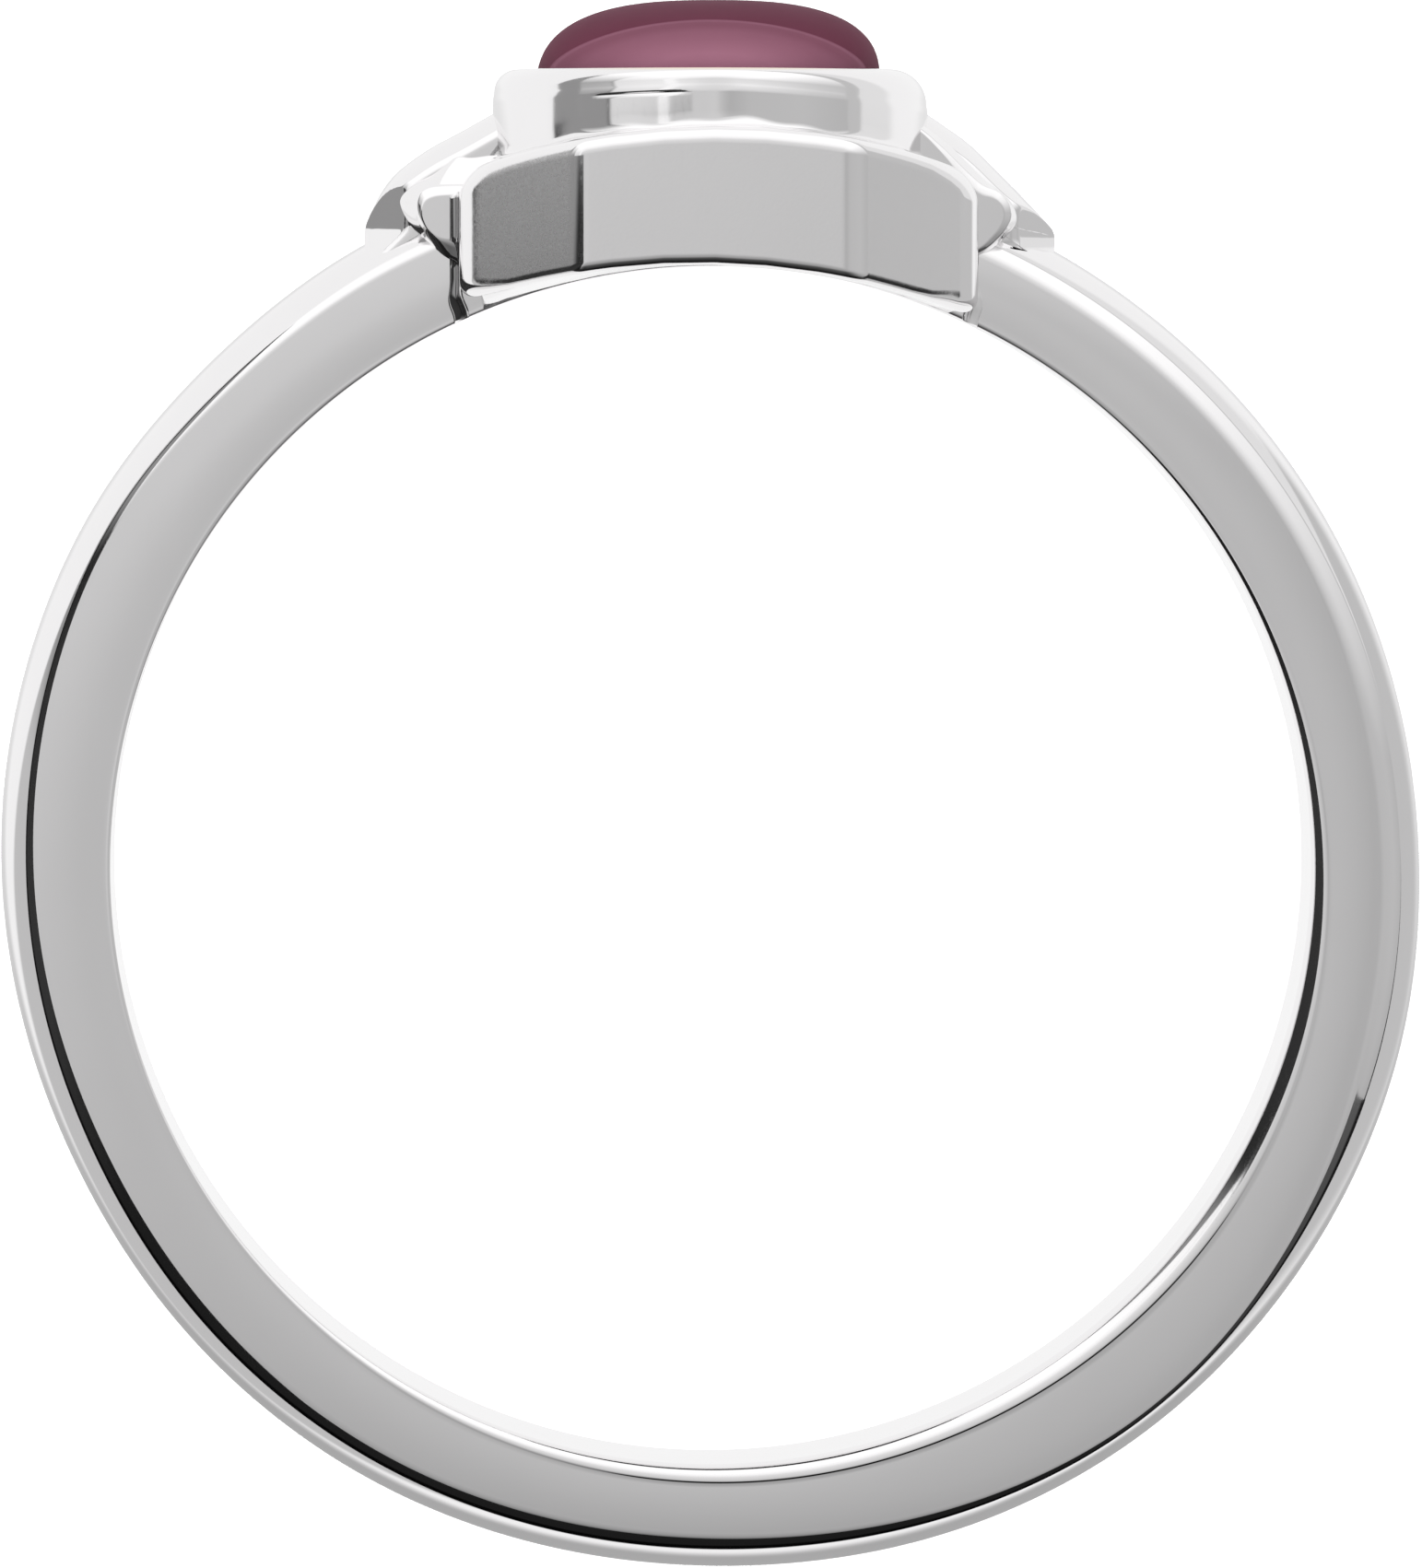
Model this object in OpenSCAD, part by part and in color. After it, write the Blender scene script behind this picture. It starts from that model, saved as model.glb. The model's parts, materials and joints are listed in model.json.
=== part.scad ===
// Cabochon ring: a half-round band, an eight-sided arched base plate, stepped shoulders and a
// heavy oval bezel, all cast as one piece of white metal, with a domed oval stone set in the bezel.
// The ring lies on its side, as it comes to rest by itself: on the lower edge of the base plate's
// back facet and on the side of the band opposite the stone.
// In the modules the ring stands on its own axes: X across the finger, Y up to the stone, and Z
// along the finger. lay_down() then tips it over and puts its lowest points on the ground.

/* [Band] */
// Inside diameter, the finger size
finger_d = 17.3; // [15:0.1:21]
// Radial thickness, from the finger to the crown of the outer dome
band_t = 1.57; // [1.4:0.01:2.2]
// Width along the finger
band_w = 2.2; // [1.9:0.1:2.6]
// How far the outer dome stands out past the flat sides
dome_rise = 0.45; // [0.3:0.05:0.7]
// Radius that eases the two inner edges for the finger
comfort_r = 0.12; // [0.05:0.01:0.25]

/* [Base plate] */
// Width across the finger
base_across = 7.36; // [6.8:0.02:7.6]
// Length along the finger
base_along = 9.3; // [9:0.1:10.5]
// Width of the flat facet in the middle of the front and of the back
front_facet = 3.88; // [3.4:0.02:4.4]
// Height, measured straight up
base_h = 1.96; // [1.7:0.01:2.3]
// Radius of the arch that its top and its underside follow
arch_r = 10.4; // [9.5:0.1:12]
// How far its underside clears the finger, at the middle
base_lift = 0.04; // [0.02:0.01:0.2]

/* [Bezel] */
// Width of the metal around the stone, at the rim
rim_w = 0.69; // [0.5:0.01:0.8]
// Radius that rounds the rim's outer edge
rim_r = 0.4; // [0.2:0.05:0.45]
// Height of the rim above the base plate's crown
rim_rise = 0.85; // [0.7:0.01:1.1]

/* [Stone] */
// Width across the finger, where the stone leaves the rim
stone_across = 4.9; // [4.8:0.1:5.2]
// Length along the finger
stone_along = 6.9; // [6.8:0.1:7.4]
// Height that shows above the rim
stone_show = 1; // [0.7:0.05:1.5]
// Depth of its widest line below the rim
girdle_depth = 0.27; // [0.2:0.01:0.4]
// Height of the plain bottom part below that line
stone_back = 1.1; // [0.8:0.1:1.3]
// Fullness of the dome: 2 is an ellipse, and higher is flatter on top
dome_power = 2.7; // [2:0.1:3]
// How far the dome's crown leans to one side
dome_lean = 0.08; // [0:0.01:0.1]
// Clearance between the stone and its seat
seat_gap = 0.03; // [0.02:0.01:0.05]

/* [Shoulders] */
// Width of the ridge that climbs from the band to the bezel
ridge_w = 1.3; // [1:0.1:1.5]
// Radius of the crown across the ridge's top
crown_r = 1.3; // [1:0.1:1.8]
// Height above the finger's centre at which the ridge meets the bezel
ridge_top = 10.78; // [10.6:0.01:10.9]
// Fall of the ridge's straight part, in degrees
ridge_fall = 32.4; // [30:0.2:34]
// Distance from the middle plane at which the straight part ends
ridge_knee = 4.38; // [4.2:0.01:4.5]
// Radius of the nose that ends the ridge on the band
nose_r = 1.33; // [1.1:0.01:1.5]
// Width of the step beside the ridge, from the flat face on one side to the one on the other
step_w = 2.6; // [2.5:0.1:3]

/* [Hidden] */
$fn = 96;

finger_r = finger_d / 2;
band_r = finger_r + band_t;
side_r = band_r - dome_rise;
dome_r = (band_w * band_w / 4 + dome_rise * dome_rise) / (2 * dome_rise);
dome_c = band_r - dome_r;

base_top = finger_r + base_lift + base_h;
corner_cut = (base_across - front_facet) / 2;
under_c = base_top - base_h - arch_r;

rim_y = base_top + rim_rise;
bezel_across = stone_across + 2 * rim_w;
bezel_along = stone_along + 2 * rim_w;
bezel_foot = base_top - 1.4;

// The stone's widest line lies a little under the rim, and a little outside what shows. The dome's
// own curve starts at that height too, but further in.
girdle_y = rim_y - girdle_depth;
girdle_out = 0.05;
girdle_a = stone_across / 2 + girdle_out;
girdle_b = stone_along / 2 + girdle_out;
dome_out = 0.014;
dome_a = stone_across / 2 + dome_out;
dome_b = stone_along / 2 + dome_out;
dome_h = girdle_depth + stone_show;
back_in = 0.1;
stone_sides = 64;
dome_rings = 12;

// The ring touches the ground at both ends of the back facet's lower edge, and at the outer
// corner of the band's flat side, opposite the stone. These three points set the tilt.
foot_y = under_c + sqrt(arch_r * arch_r - front_facet * front_facet / 4);
foot_z = base_along / 2;
tilt = atan((foot_z - band_w / 2) / (foot_y + side_r));
ground = foot_y * sin(tilt) - foot_z * cos(tilt);
reach_down = -(dome_c * cos(tilt) + dome_r);
reach_up = max([for (p = stone_points()) p.y * cos(tilt) - p.z * sin(tilt)]);

// The ridge's straight part stands this much over the crown that cuts it to its own height.
crown_spare = 0.04;

// The step's outline where it leaves the ridge, and the outline of its flat face. Each row is the
// distance from the middle plane and the height above the finger's centre.
flare_line = [[3.05, 10.61], [3.94, 10.04], [4.3, 9.75], [4.38, 9.45], [4.3, 9.15],
              [4.04, 8.91], [3.05, 8.96]];
face_line = [[3.35, 9.7], [4.05, 9.69], [4.2, 9.57], [4.25, 9.36], [4.21, 9.18],
             [3.85, 8.88], [3.35, 8.91]];

// A point of the stone: t runs over the dome from its foot, 0, to its crown, 90.
function dome_point(t, around) =
    let (wide = pow(cos(t), 2 / dome_power), high = pow(sin(t), 2 / dome_power))
    [dome_a * wide * cos(around) + dome_lean * high * high, girdle_y + dome_h * high,
     -dome_b * wide * sin(around)];

function girdle_point(around) =
    [girdle_a * cos(around), girdle_y, -girdle_b * sin(around)];

function back_point(around) =
    [(girdle_a - back_in) * cos(around), girdle_y - stone_back,
     -(girdle_b - back_in) * sin(around)];

function stone_points() = concat(
    [for (i = [0:stone_sides - 1]) back_point(i * 360 / stone_sides)],
    [for (i = [0:stone_sides - 1]) girdle_point(i * 360 / stone_sides)],
    [for (j = [1:dome_rings - 1], i = [0:stone_sides - 1])
        dome_point(j * 90 / dome_rings, i * 360 / stone_sides)],
    [dome_point(90, 0)]);

// The ridge's outline from the side: straight down from the bezel to the knee, then a round nose.
function ridge_line() =
    let (knee_y = ridge_top + crown_spare - (ridge_knee - bezel_across / 2) * tan(ridge_fall))
    concat(
        [[bezel_across / 2 - 0.3, ridge_top + crown_spare + 0.3 * tan(ridge_fall)]],
        [for (a = [0:6:48])
            [ridge_knee - nose_r * sin(ridge_fall) + nose_r * sin(ridge_fall + a),
             knee_y - nose_r * cos(ridge_fall) + nose_r * cos(ridge_fall + a)]],
        [[ridge_knee + 0.4, side_r * cos(32)], [bezel_across / 2 - 0.3, side_r * cos(22)]]);

module lay_down() {
    translate([0, -(reach_down + reach_up) / 2, -ground]) rotate([tilt, 0, 0]) children();
}

// Turns a shape that was drawn standing on its Z axis so that it points up to the stone.
module upright() {
    rotate([-90, 0, 0]) children();
}

// One inner corner of the band's section, left after a quarter circle eases it.
module eased_corner() {
    difference() {
        square(2 * comfort_r, center = true);
        translate([comfort_r, comfort_r]) circle(comfort_r);
        translate([comfort_r, -2 * comfort_r]) square(4 * comfort_r);
        translate([-2 * comfort_r, comfort_r]) square(4 * comfort_r);
    }
}

module band() {
    rotate_extrude() difference() {
        intersection() {
            translate([finger_r, -band_w / 2]) square([band_t + 1, band_w]);
            translate([dome_c, 0]) circle(dome_r);
        }
        translate([finger_r, -band_w / 2]) eased_corner();
        translate([finger_r, band_w / 2]) mirror([0, 1]) eased_corner();
    }
}

// The plate's outline from above: a rectangle with its four corners cut straight.
module base_outline() {
    x = base_across / 2;
    z = base_along / 2;
    c = corner_cut;
    polygon([[x, z - c], [x - c, z], [c - x, z], [-x, z - c],
             [-x, c - z], [c - x, -z], [x - c, -z], [x, c - z]]);
}

module base_plate() {
    difference() {
        intersection() {
            upright() linear_extrude(base_top + 1) base_outline();
            translate([0, base_top - arch_r, 0]) cylinder(r = arch_r, h = 2 * base_along, center = true);
        }
        translate([0, under_c, 0]) cylinder(r = arch_r, h = 3 * base_along, center = true);
    }
}

module bezel() {
    across = bezel_across / 2;
    upright() scale([1, bezel_along / bezel_across, 1]) rotate_extrude() {
        translate([0, bezel_foot]) square([across, rim_y - rim_r - bezel_foot]);
        translate([0, bezel_foot]) square([across - rim_r, rim_y - bezel_foot]);
        translate([across - rim_r, rim_y - rim_r]) circle(rim_r);
    }
}

// The hollow that holds the stone: straight below its widest line, and closing in above it.
module seat() {
    low = girdle_y - stone_back - seat_gap;
    wide = girdle_a + seat_gap;
    mouth = stone_across / 2 + seat_gap;
    upright() scale([1, stone_along / stone_across, 1]) rotate_extrude()
        polygon([[0, low], [wide, low], [wide, girdle_y], [mouth, rim_y],
                 [mouth, rim_y + 1], [0, rim_y + 1]]);
}

// A round bar whose upper line is the ridge's straight part, on a block as wide as the ridge. It
// crowns the ridge and leaves what is below alone.
module crown_bar() {
    long = 8;
    translate([bezel_across / 2, ridge_top, 0]) rotate([0, 0, -ridge_fall])
        translate([0, -crown_r, 0]) {
            rotate([0, 90, 0]) cylinder(r = crown_r, h = long, center = true);
            translate([-long / 2, -long, -ridge_w]) cube([long, long, 2 * ridge_w]);
        }
}

// The crowned ridge with its round nose, and the wider step that fills the corner between the
// ridge, the band and the end of the base plate.
module shoulder() {
    intersection() {
        linear_extrude(ridge_w, center = true) polygon(ridge_line());
        crown_bar();
    }
    hull() {
        linear_extrude(ridge_w - 2 * crown_spare, center = true) polygon(flare_line);
        linear_extrude(step_w, center = true) polygon(face_line);
    }
}

module ring_mount() {
    color([0.86, 0.86, 0.87]) lay_down() difference() {
        union() {
            band();
            base_plate();
            bezel();
            shoulder();
            mirror([1, 0, 0]) shoulder();
        }
        seat();
    }
}

module cabochon() {
    last = stone_sides - 1;
    rows = dome_rings;
    crown = (rows + 1) * stone_sides;
    color([0.5, 0.24, 0.34]) lay_down() polyhedron(
        points = stone_points(),
        faces = concat(
            [[for (i = [0:last]) i]],
            [for (j = [0:rows - 1], i = [0:last])
                let (k = (i + 1) % stone_sides, low = j * stone_sides, high = low + stone_sides)
                each [[low + i, high + i, low + k], [low + k, high + i, high + k]]],
            [for (i = [0:last])
                [crown - stone_sides + i, crown, crown - stone_sides + (i + 1) % stone_sides]]));
}

ring_mount();
cabochon();
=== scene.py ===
import json

import bpy
import numpy as np
from mathutils import Matrix


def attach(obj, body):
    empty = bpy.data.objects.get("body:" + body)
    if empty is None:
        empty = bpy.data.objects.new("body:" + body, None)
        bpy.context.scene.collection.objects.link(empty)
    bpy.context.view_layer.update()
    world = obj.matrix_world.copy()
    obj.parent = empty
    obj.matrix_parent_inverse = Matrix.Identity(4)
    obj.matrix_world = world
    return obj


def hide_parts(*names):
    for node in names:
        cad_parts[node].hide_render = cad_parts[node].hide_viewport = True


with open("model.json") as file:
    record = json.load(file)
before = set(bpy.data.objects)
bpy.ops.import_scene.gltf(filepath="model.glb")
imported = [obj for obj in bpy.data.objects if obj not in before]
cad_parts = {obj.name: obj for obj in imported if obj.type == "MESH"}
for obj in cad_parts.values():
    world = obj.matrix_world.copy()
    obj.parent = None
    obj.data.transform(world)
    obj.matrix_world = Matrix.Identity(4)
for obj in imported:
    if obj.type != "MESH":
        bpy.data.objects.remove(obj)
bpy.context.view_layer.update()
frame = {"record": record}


# The ring's place. It lies on its side, so its own axes are tipped: X across the finger, Y up to
# the stone and Z along the finger. Its sizes are in millimetres on those axes, and the finger
# hole's mount says where they stand in the frame.
hole = next(m for m in frame["record"]["mounts"] if m["name"] == "finger_hole")
ring_centre = np.array(hole["pos_m"])
along_finger = np.array(hole["axis"])
to_stone = np.cross(along_finger, (1, 0, 0))
ring_axes = np.array([(1, 0, 0), to_stone, along_finger])
tilt = float(np.arctan2(-along_finger[1], along_finger[2]))


def in_frame(points):
    """Turns distances in millimetres along the ring's three axes into a place in the frame."""
    return ring_centre + 0.001 * np.asarray(points, float) @ ring_axes


# The camera. It stands in front of the ring, level with the base plate and a little to the left,
# and looks back along the finger.
EYE = (-4.2, 10, 160)
AIM = (0.013, 1.148, 0)
SENSOR, LENS = 36, 253.97
eye = in_frame(EYE)
look = in_frame(AIM) - eye
look /= np.linalg.norm(look)
right = np.cross(look, to_stone)
right /= np.linalg.norm(right)
camera = bpy.data.objects.new("camera", bpy.data.cameras.new("camera"))
camera.data.sensor_width = SENSOR
camera.data.lens = LENS
camera.data.clip_start = 0.005
camera.data.clip_end = 20
camera.matrix_world = Matrix(np.vstack([
    np.column_stack([right, np.cross(right, look), -look, eye]), (0, 0, 0, 1)]).tolist())
bpy.context.scene.collection.objects.link(camera)
bpy.context.scene.camera = camera
bpy.context.scene.view_settings.view_transform = "Standard"


# The studio around the ring. Polished metal shows what stands round it: a pale tent, greyer behind
# the camera and on the right, open and white above, with a dark gap low on the left. Rays from the
# camera see it plain white.
def put(tree, kind, inputs=(), **settings):
    """Adds a node, sets its settings, and links or sets its inputs."""
    node = tree.nodes.new("ShaderNode" + kind)
    for name, value in settings.items():
        setattr(node, name, value)
    for name, value in dict(inputs).items():
        if isinstance(value, bpy.types.NodeSocket):
            tree.links.new(value, node.inputs[name])
        else:
            node.inputs[name].default_value = value
    return node


def ramp(tree, value, stops):
    """A grey that follows the stops, pairs of a position from 0 to 1 and a brightness."""
    node = put(tree, "ValToRGB", {0: value})
    elements = node.color_ramp.elements
    elements[0].position, elements[1].position = stops[0][0], stops[-1][0]
    for position, grey in stops[1:-1]:
        elements.new(position)
    for element, (position, grey) in zip(sorted(elements, key=lambda e: e.position), stops):
        element.color = (grey, grey, grey, 1)
    return node.outputs["Color"]


def calc(tree, operation, *values, clamp=False):
    """One step of arithmetic."""
    node = put(tree, "Math", dict(enumerate(values)), operation=operation, use_clamp=clamp)
    return node.outputs[0]


# Brightness of the tent by the angle away from the camera's side of the ring, in degrees, on each
# of four sides. The top's share begins a little above level and is whole well before upright.
UP_GAIN, UP_START = 1.5, 0.15
TENT = {
    "right": [(0, 0.64), (1.5, 0.60), (4, 0.53), (10, 0.45), (24, 0.52), (60, 0.54), (90, 0.49),
              (130, 0.52), (180, 0.9)],
    "left": [(0, 0.64), (8, 0.62), (30, 0.66), (33, 1.05), (38, 1.05), (40, 0.76), (70, 0.76),
             (71.5, 0.06), (73, 0.30), (109, 0.31), (114, 0.95), (180, 0.95)],
    "up": [(0, 0.64), (8, 0.70), (20, 0.78), (34, 1.0), (50, 1.12), (95, 1.12), (112, 0.96),
           (180, 0.92)],
    "down": [(0, 0.64), (1.5, 0.57), (3, 0.53), (6, 0.49), (13, 0.40), (24, 0.34), (30, 0.26),
             (38, 0.10), (60, 0.03), (99, 0.02), (110, 0.9), (180, 0.9)],
}
world = bpy.data.worlds.new("studio")
bpy.context.scene.world = world
world.use_nodes = True
tree = world.node_tree
tree.nodes.clear()
direction = put(tree, "TexCoord").outputs["Generated"]
across, up, out = [put(tree, "VectorMath", {0: direction, 1: tuple(axis)},
                       operation="DOT_PRODUCT").outputs["Value"] for axis in ring_axes]
angle = calc(tree, "DIVIDE", calc(tree, "ARCCOSINE", out), np.pi)
aside = calc(tree, "MAXIMUM", calc(tree, "SUBTRACT", 1, calc(tree, "MULTIPLY", out, out)), 0.0001)
upward = calc(tree, "DIVIDE", up, calc(tree, "SQRT", aside))
share_up = calc(tree, "MULTIPLY_ADD", upward, UP_GAIN, -UP_START, clamp=True)
share_down = calc(tree, "POWER", calc(tree, "MAXIMUM", calc(tree, "MULTIPLY", upward, -1), 0), 2)
share_side = calc(tree, "SUBTRACT", calc(tree, "SUBTRACT", 1, share_up), share_down)
at_right = calc(tree, "GREATER_THAN", across, 0)
shares = {"up": share_up, "down": share_down, "right": calc(tree, "MULTIPLY", share_side, at_right),
          "left": calc(tree, "MULTIPLY", share_side, calc(tree, "SUBTRACT", 1, at_right))}
light = 0
for side, share in shares.items():
    tone = ramp(tree, angle, [(degrees / 180, grey) for degrees, grey in TENT[side]])
    light = calc(tree, "ADD", light, calc(tree, "MULTIPLY", share, tone))
seen = put(tree, "Mix", {0: put(tree, "LightPath").outputs["Is Camera Ray"], 2: light, 3: 1.0})
shown = put(tree, "Background", {"Color": (1, 1, 1, 1), "Strength": seen.outputs[0]})
put(tree, "OutputWorld", {"Surface": shown.outputs[0]})


def plain_mesh(name, points, faces):
    """A piece from its points in millimetres on the ring's axes and its faces."""
    mesh = bpy.data.meshes.new(name)
    mesh.from_pydata(in_frame(points).tolist(), [], faces)
    mesh.shade_smooth()
    mesh.update()
    piece = bpy.data.objects.new(name, mesh)
    bpy.context.scene.collection.objects.link(piece)
    return piece


# The dark gap low in the tent, a bent card that only the metal's polish shows. It runs from the
# upper left under the ring to the lower right. It is taller and greyer at the left, where it stops
# level with the base plate, and its lower edge is black.
CARD_STOP = 10.7
CARD_END = 340
CARD_FOOT, CARD_DIP, CARD_TALL = 0.9, 0.65, 90
CARD_NEAR, CARD_SPREAD, CARD_BEND = 13, 14, 25
CARD_ROWS, CARD_COLUMNS = 40, 120
# The card's height and its brightness by the angle round the ring, in degrees from the right
# towards the stone, and what dims it by the height.
CARD_HEIGHT = [(185, 90), (235, 14), (300, 14), (340, 8)]
CARD_GREY = [(140, 0.28), (147, 0.28), (154, 0.02), (165, 0.03), (195, 0.035), (212, 0.012),
             (300, 0.012), (325, 0.05), (340, 0.10)]
CARD_DIMMED = [(1.6, 0.12), (2.3, 1.0)]


def card_radius(height):
    """The card leans outward as it rises, less and less, as an exponential curve does."""
    return CARD_NEAR + CARD_SPREAD * (1 - np.exp(-height / CARD_BEND))


def read_off(value, rows):
    """The value's partner, read off straight between a table's rows."""
    return np.interp(value, *np.transpose(rows))


card_up = np.linspace(0, 1, CARD_ROWS)[:, None] ** 2
whole_height = CARD_FOOT + (CARD_TALL - CARD_FOOT) * card_up
card_start = np.pi - np.arcsin(CARD_STOP / card_radius(whole_height))
card_turn = card_start + (np.radians(CARD_END) - card_start) * np.linspace(0, 1, CARD_COLUMNS)
card_foot = CARD_FOOT - CARD_DIP * np.clip(-np.sin(card_turn), 0, 1)
card_top = read_off(np.degrees(card_turn), CARD_HEIGHT)
card_z = card_foot + (card_top - card_foot) * card_up
card_points = np.stack([card_radius(card_z) * np.cos(card_turn),
                        card_radius(card_z) * np.sin(card_turn), card_z], axis=-1)
number = np.arange(CARD_ROWS * CARD_COLUMNS).reshape(CARD_ROWS, CARD_COLUMNS)
card_faces = np.stack([number[:-1, :-1], number[:-1, 1:], number[1:, 1:], number[1:, :-1]], -1)
card = plain_mesh("dark_card", card_points.reshape(-1, 3), card_faces.reshape(-1, 4).tolist())
shade = read_off(np.degrees(card_turn), CARD_GREY) * read_off(card_z, CARD_DIMMED)
card.data.attributes.new("grey", "FLOAT", "POINT").data.foreach_set(
    "value", shade.astype(np.float32).ravel())
for ray in ("camera", "diffuse", "transmission", "volume_scatter", "shadow"):
    setattr(card, "visible_" + ray, False)
paper = bpy.data.materials.new("dark_paper")
paper.use_nodes = True
paper.node_tree.nodes.clear()
grey = put(paper.node_tree, "Attribute", attribute_name="grey")
dim = put(paper.node_tree, "Emission", {"Color": (1, 1, 1, 1), "Strength": grey.outputs["Fac"]})
put(paper.node_tree, "OutputMaterial", {"Surface": dim.outputs[0]})
card.data.materials.append(paper)

# The floor that the ring lies on, a pale matt table top that is lit a little from below. Polish
# shows it with a painted reflection instead: a white sheet that ends not far from the ring, darker
# tones beyond it, and a painted shadow of the ring. The sheet's edges are in millimetres on the
# ring's axes, and each is soft between two distances.
FLOOR = 1.5
SHEET = 0.95
LEFT_EDGE, LEFT_SLANT, LEFT_SOFT = 16.5, 0.85, (-1.5, 1.0)
RIGHT_SLANT, RIGHT_SOFT = -0.2, (10.0, 14.0)
LOW_SOFT = (-15.0, -13.5)
# The painted tones beyond the sheet. At the left and at the right they change between two heights,
# and at the right they change back further out, between two distances. Below there is one.
LEFT_UP, LEFT_TONES = (2.0, 9.0), (0.55, 0.30)
RIGHT_UP, RIGHT_OUT, RIGHT_TONES = (9.8, 10.8), (45.0, 55.0), (0.55, 0.80)
LOW_TONE = 0.02
# The ring's painted shadow ends between two distances from the hole's middle, and its tone changes
# between two heights. The bright part inside the hole ends between two distances too.
SHADOW_OUT, SHADOW_UP, SHADOW_TONES = (11.8, 13.2), (-9.0, 4.0), (0.42, 0.80)
HOLE_OUT = (9.0, 10.0)
floor_mesh = bpy.data.meshes.new("floor")
floor_corners = [(-FLOOR, -FLOOR, 0), (FLOOR, -FLOOR, 0), (FLOOR, FLOOR, 0), (-FLOOR, FLOOR, 0)]
floor_mesh.from_pydata(floor_corners, [], [(0, 1, 2, 3)])
floor = bpy.data.objects.new("floor", floor_mesh)
bpy.context.scene.collection.objects.link(floor)
matt = bpy.data.materials.new("matt_white")
matt.use_nodes = True
table = matt.node_tree
matt_shader = table.nodes["Principled BSDF"]
matt_shader.inputs["Base Color"].default_value = (0.9, 0.9, 0.9, 1)
matt_shader.inputs["Specular IOR Level"].default_value = 0.1
matt_shader.inputs["Emission Color"].default_value = (1, 1, 1, 1)
matt_shader.inputs["Emission Strength"].default_value = 0.3
tooth = put(table, "TexNoise", {"Vector": put(table, "TexCoord").outputs["Object"], "Scale": 900.0})
table.links.new(calc(table, "MULTIPLY_ADD", tooth.outputs["Fac"], 0.1, 0.8),
                matt_shader.inputs["Roughness"])


def ring_place(tree):
    """Object coordinates as millimetres on the ring's own axes."""
    return put(tree, "Mapping", {
        "Vector": put(tree, "TexCoord").outputs["Object"], "Location": tuple(ring_centre),
        "Rotation": (tilt, 0, 0), "Scale": (0.001, 0.001, 0.001)}, vector_type="TEXTURE").outputs[0]


def fade(tree, value, start, end, first, last):
    """Goes smoothly from the first value at start to the last one at end."""
    return put(tree, "MapRange", dict(enumerate((value, start, end, first, last))),
               interpolation_type="SMOOTHSTEP").outputs[0]


at = put(table, "SeparateXYZ", {0: ring_place(table)}).outputs
# Left of the sheet the painted reflection is darkest beside the stone.
left_of = calc(table, "MULTIPLY_ADD", at["Y"], LEFT_SLANT, calc(table, "ADD", at["X"], LEFT_EDGE))
painted_reflection_tone = fade(table, left_of, *LEFT_SOFT, 0.0, SHEET)
painted_reflection_tone = calc(table, "MAXIMUM", painted_reflection_tone, fade(table, at["Y"], *LEFT_UP, *LEFT_TONES))
# Right of it the painted reflection is palest above the base plate, as far as that reaches.
right_of = calc(table, "MULTIPLY_ADD", at["Y"], RIGHT_SLANT, at["X"])
beyond = fade(table, at["Y"], *RIGHT_UP, *RIGHT_TONES)
beyond = calc(table, "MINIMUM", beyond, fade(table, at["X"], *RIGHT_OUT, *RIGHT_TONES[::-1]))
painted_reflection_tone = calc(table, "MINIMUM", painted_reflection_tone, fade(table, right_of, *RIGHT_SOFT, SHEET, beyond))
# Below it the painted reflection is black.
painted_reflection_tone = calc(table, "MINIMUM", painted_reflection_tone, fade(table, at["Y"], *LOW_SOFT, LOW_TONE, SHEET))
# Round the ring a painted shadow darkens the sheet, darkest below. Inside the hole it is bright.
on_floor = put(table, "CombineXYZ", {"X": at["X"], "Y": at["Y"]}).outputs[0]
away = put(table, "VectorMath", {0: on_floor}, operation="LENGTH").outputs["Value"]
shadow_tone = fade(table, at["Y"], *SHADOW_UP, *SHADOW_TONES)
shadow = fade(table, away, *SHADOW_OUT, shadow_tone, SHEET)
shadow = calc(table, "MAXIMUM", shadow, fade(table, away, *HOLE_OUT, SHEET, 0.0))
painted_reflection_tone = calc(table, "MINIMUM", painted_reflection_tone, shadow)
# Reflected rays see this painted pattern as a glow. All other rays see the matt table.
reflected = put(table, "Emission", {"Color": (1, 1, 1, 1), "Strength": painted_reflection_tone})
both = put(table, "MixShader", {0: put(table, "LightPath").outputs["Is Glossy Ray"],
                                1: matt_shader.outputs[0], 2: reflected.outputs[0]})
table.links.new(both.outputs[0], table.nodes["Material Output"].inputs["Surface"])
floor_mesh.materials.append(matt)

# A wide soft lamp above the camera, which lights the floor and the stone.
lamp = bpy.data.objects.new("soft_lamp", bpy.data.lights.new("soft_lamp", "AREA"))
lamp.data.shape = "DISK"
lamp.data.size = 0.5
lamp.data.energy = 4.5
lamp.visible_glossy = False
lamp.location = (-0.05, -0.1, 0.6)
lamp.rotation_mode = "QUATERNION"
lamp.rotation_quaternion = lamp.location.to_track_quat("Z", "Y")
bpy.context.scene.collection.objects.link(lamp)


# The band, half round outside with flat sides and a plain round inside, cast in white metal and
# polished by hand. The polishing has taken more off some edges than off others, so how round they
# are changes slowly along the band.
FINGER_R = 8.65
BAND_T = 1.57
BAND_HALF = 1.1
DOME_RISE = 0.45
SIDE_CROWN = 0.008
LEDGE_WIDE = 0.035
BAND_STEPS = 540
# The wear moves the section's outer part. Its radii: where that begins and how softly, and where
# the flat side's own part ends and how softly.
WORN_FROM, WORN_SOFT = 8.95, 0.55
SIDE_TO, SIDE_SOFT = 9.70, 0.5
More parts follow.
